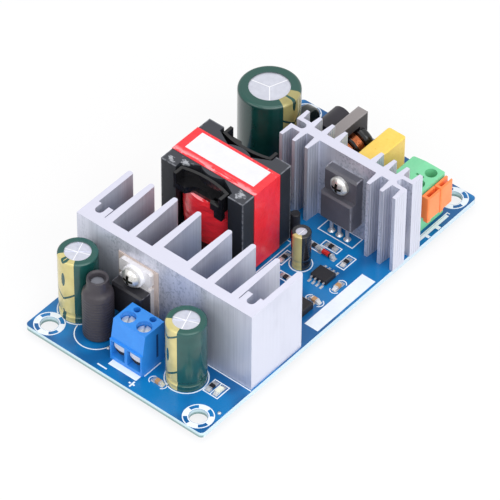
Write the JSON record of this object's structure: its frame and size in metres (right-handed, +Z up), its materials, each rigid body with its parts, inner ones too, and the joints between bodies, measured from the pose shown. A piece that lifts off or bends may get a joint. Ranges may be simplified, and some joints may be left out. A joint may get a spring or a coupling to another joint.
{
  "type": "power supply module",
  "caption": "Open-frame mains power supply on a circuit board with finned heatsinks, transformer, capacitors and terminal blocks.",
  "frame": {"origin": "middle of the board's outline, at the height of the lowest solder tips", "axes": "+X along the board from the output end to the mains end, +Y across it towards the bulk capacitor, +Z up from the solder side to the parts"},
  "size_m": [0.107, 0.0573, 0.03],
  "materials": {
    "blue_board": "glossy blue lacquer over glass-fibre laminate",
    "solder": "bright solder",
    "extruded_aluminium": "satin extrusion",
    "tinned_steel": "tinned",
    "tinned_copper": "tinned",
    "nickel_screw": "nickel plated",
    "silicone_pad": "matte grey",
    "black_epoxy": "moulded matte",
    "white_nylon": "smooth moulding",
    "black_ferrite": "fired matte",
    "grey_ferrite": "ground matte",
    "black_phenolic": "moulded satin",
    "red_tape": "smooth polyester film",
    "white_label": "blank",
    "bare_can": "drawn, satin",
    "green_sleeve": "shrunk film",
    "black_sleeve": "shrunk film",
    "enamelled_copper": "clear enamel on copper",
    "blue_terminal": "moulded",
    "green_terminal": "moulded",
    "orange_lever": "moulded",
    "yellow_case": "moulded",
    "dark_lacquer": "dipped lacquer",
    "tan_ceramic": "fired",
    "amber_glass": "clear",
    "clear_lamp": "translucent"
  },
  "bodies": {
    "board_assembly": {"ac_terminal_housing": "green_terminal", "bridge_rectifier": "black_epoxy", "bulk_capacitor_can": "bare_can", "bulk_capacitor_sleeve": "green_sleeve", "capacitor_leads": "tinned_copper", "chip_capacitors": "tan_ceramic", "chip_leads": "tinned_copper", "chip_resistors": "black_epoxy", "choke_rod": "grey_ferrite", "choke_sleeve": "black_sleeve", "choke_winding": "enamelled_copper", "circuit_board": "blue_board", "controller_chip": "black_epoxy", "dc_contacts": "tinned_copper", "dc_terminal_housing": "blue_terminal", "filter_capacitor": "yellow_case", "fuse": "black_phenolic", "glass_diode": "amber_glass", "heatsink_pins": "tinned_steel", "indicator_lamp": "clear_lamp", "input_heatsink": "extruded_aluminium", "line_choke_bobbin": "black_phenolic", "line_choke_core": "black_ferrite", "line_choke_windings": "enamelled_copper", "metal_end_caps": "solder", "optocoupler": "black_epoxy", "output_capacitor_1_can": "bare_can", "output_capacitor_1_sleeve": "green_sleeve", "output_capacitor_2_can": "bare_can", "output_capacitor_2_sleeve": "green_sleeve", "output_heatsink": "extruded_aluminium", "rectifier_body": "black_epoxy", "rectifier_bushing": "white_nylon", "rectifier_leads": "tinned_copper", "rectifier_pad": "silicone_pad", "rectifier_screw": "nickel_screw", "rectifier_tab": "tinned_copper", "small_capacitor_can": "bare_can", "small_capacitor_sleeve": "black_sleeve", "small_choke": "black_epoxy", "solder_joints": "solder", "switch_body": "black_epoxy", "switch_leads": "tinned_copper", "switch_screw": "nickel_screw", "terminal_pins": "tinned_copper", "thermistor": "dark_lacquer", "transformer_bobbin": "black_phenolic", "transformer_core_lower": "black_ferrite", "transformer_core_upper": "black_ferrite", "transformer_label": "white_label", "transformer_pins": "tinned_copper", "transformer_tape": "red_tape", "transformer_winding": "red_tape", "wire_leads": "tinned_copper"},
    "mains_lever_left": {"ac_lever_1": "orange_lever"},
    "mains_lever_right": {"ac_lever_2": "orange_lever"},
    "output_screw_front": {"dc_screw_1": "nickel_screw"},
    "output_screw_back": {"dc_screw_2": "nickel_screw"},
    "output_clamp_front": {"dc_clamp_1": "nickel_screw"},
    "output_clamp_back": {"dc_clamp_2": "nickel_screw"}
  },
  "joints": [
    {"name": "mains_lever_left_swing", "type": "hinge", "parent": "board_assembly", "child": "mains_lever_left", "pos_m": [0.03655, -0.0234, 0.01], "axis": [1, 0, 0], "range_deg": [0, 12], "stiffness_Nm_per_rad": 0.004, "springref_deg": -8.59},
    {"name": "mains_lever_right_swing", "type": "hinge", "parent": "board_assembly", "child": "mains_lever_right", "pos_m": [0.04155, -0.0234, 0.01], "axis": [1, 0, 0], "range_deg": [0, 12], "stiffness_Nm_per_rad": 0.004, "springref_deg": -8.59},
    {"name": "output_screw_front_turn", "type": "hinge", "parent": "board_assembly", "child": "output_screw_front", "pos_m": [-0.0445, -0.00264, 0.0145], "axis": [0, 0, 1], "range_deg": [-1600, 0]},
    {"name": "output_clamp_front_rise", "type": "slide", "parent": "board_assembly", "child": "output_clamp_front", "axis": [0, 0, 1], "range_m": [0, 0.0022]},
    {"name": "output_screw_back_turn", "type": "hinge", "parent": "board_assembly", "child": "output_screw_back", "pos_m": [-0.0445, 0.00244, 0.0145], "axis": [0, 0, 1], "range_deg": [-1600, 0]},
    {"name": "output_clamp_back_rise", "type": "slide", "parent": "board_assembly", "child": "output_clamp_back", "axis": [0, 0, 1], "range_m": [0, 0.0022]}
  ],
  "couplings": [
    {"joint": "output_screw_front_turn", "follows": "output_clamp_front_rise", "rad_per_m": -12566},
    {"joint": "output_screw_back_turn", "follows": "output_clamp_back_rise", "rad_per_m": -12566}
  ]
}
